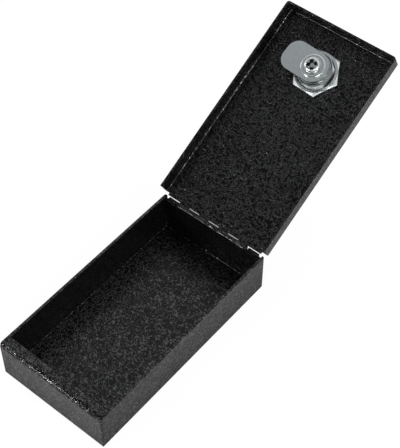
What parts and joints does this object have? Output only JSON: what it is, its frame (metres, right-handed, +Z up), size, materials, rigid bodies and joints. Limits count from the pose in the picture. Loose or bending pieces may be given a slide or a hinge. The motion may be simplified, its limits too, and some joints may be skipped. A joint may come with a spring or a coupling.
{
  "type": "money box",
  "caption": "Small rectangular sheet steel box with an overlapping hinged lid, standing open, and a quarter-turn cam lock whose cam catches under the front lip.",
  "frame": {"origin": "the middle of the box's underside", "axes": "+X to the right seen from the front, -Y to the front where the lid locks, +Y to the hinge, +Z up"},
  "size_m": [0.0728, 0.2426, 0.0946],
  "materials": {
    "powder_coat": "satin",
    "hinge_paint": "satin",
    "zinc_plate": "satin",
    "nickel_plate": "polished",
    "brass": "satin",
    "spring_steel": "satin"
  },
  "bodies": {
    "box": {"box_shell": "powder_coat", "box_hinge_leaf": "hinge_paint", "hinge_pin": "zinc_plate"},
    "lid": {"lid_shell": "powder_coat", "lid_hinge_leaf": "hinge_paint", "lock_housing": "zinc_plate", "lock_nut": "nickel_plate"},
    "plug": {"lock_plug": "zinc_plate", "stop_washer": "zinc_plate", "lock_cam": "zinc_plate", "cam_washer": "nickel_plate", "cam_screw": "nickel_plate", "wafer_spring_1": "spring_steel", "wafer_spring_2": "spring_steel", "wafer_spring_3": "spring_steel", "wafer_spring_4": "spring_steel", "wafer_spring_5": "spring_steel"},
    "wafer_1": {"wafer_1": "brass"},
    "wafer_2": {"wafer_2": "brass"},
    "wafer_3": {"wafer_3": "brass"},
    "wafer_4": {"wafer_4": "brass"},
    "wafer_5": {"wafer_5": "brass"}
  },
  "joints": [
    {"name": "lid_hinge", "type": "hinge", "parent": "box", "child": "lid", "pos_m": [0, 0.0631, 0.0272], "axis": [1, 0, 0], "range_deg": [-13, 152]},
    {"name": "lock_turn", "type": "hinge", "parent": "lid", "child": "plug", "pos_m": [0, 0.15471, 0.07376], "axis": [0, 0.4695, -0.8829], "range_deg": [0, 90]},
    {"name": "wafer_1_slide", "type": "slide", "parent": "plug", "child": "wafer_1", "axis": [0.9986, -0.0462, -0.0246], "range_m": [0, 0.001]},
    {"name": "wafer_2_slide", "type": "slide", "parent": "plug", "child": "wafer_2", "axis": [0.9986, -0.0462, -0.0246], "range_m": [0, 0.001]},
    {"name": "wafer_3_slide", "type": "slide", "parent": "plug", "child": "wafer_3", "axis": [0.9986, -0.0462, -0.0246], "range_m": [0, 0.001]},
    {"name": "wafer_4_slide", "type": "slide", "parent": "plug", "child": "wafer_4", "axis": [0.9986, -0.0462, -0.0246], "range_m": [0, 0.001]},
    {"name": "wafer_5_slide", "type": "slide", "parent": "plug", "child": "wafer_5", "axis": [0.9986, -0.0462, -0.0246], "range_m": [0, 0.001]}
  ],
  "couplings": [
    {"joint": "wafer_2_slide", "follows": "wafer_1_slide", "ratio": 1},
    {"joint": "wafer_3_slide", "follows": "wafer_1_slide", "ratio": 1},
    {"joint": "wafer_4_slide", "follows": "wafer_1_slide", "ratio": 1},
    {"joint": "wafer_5_slide", "follows": "wafer_1_slide", "ratio": 1}
  ]
}
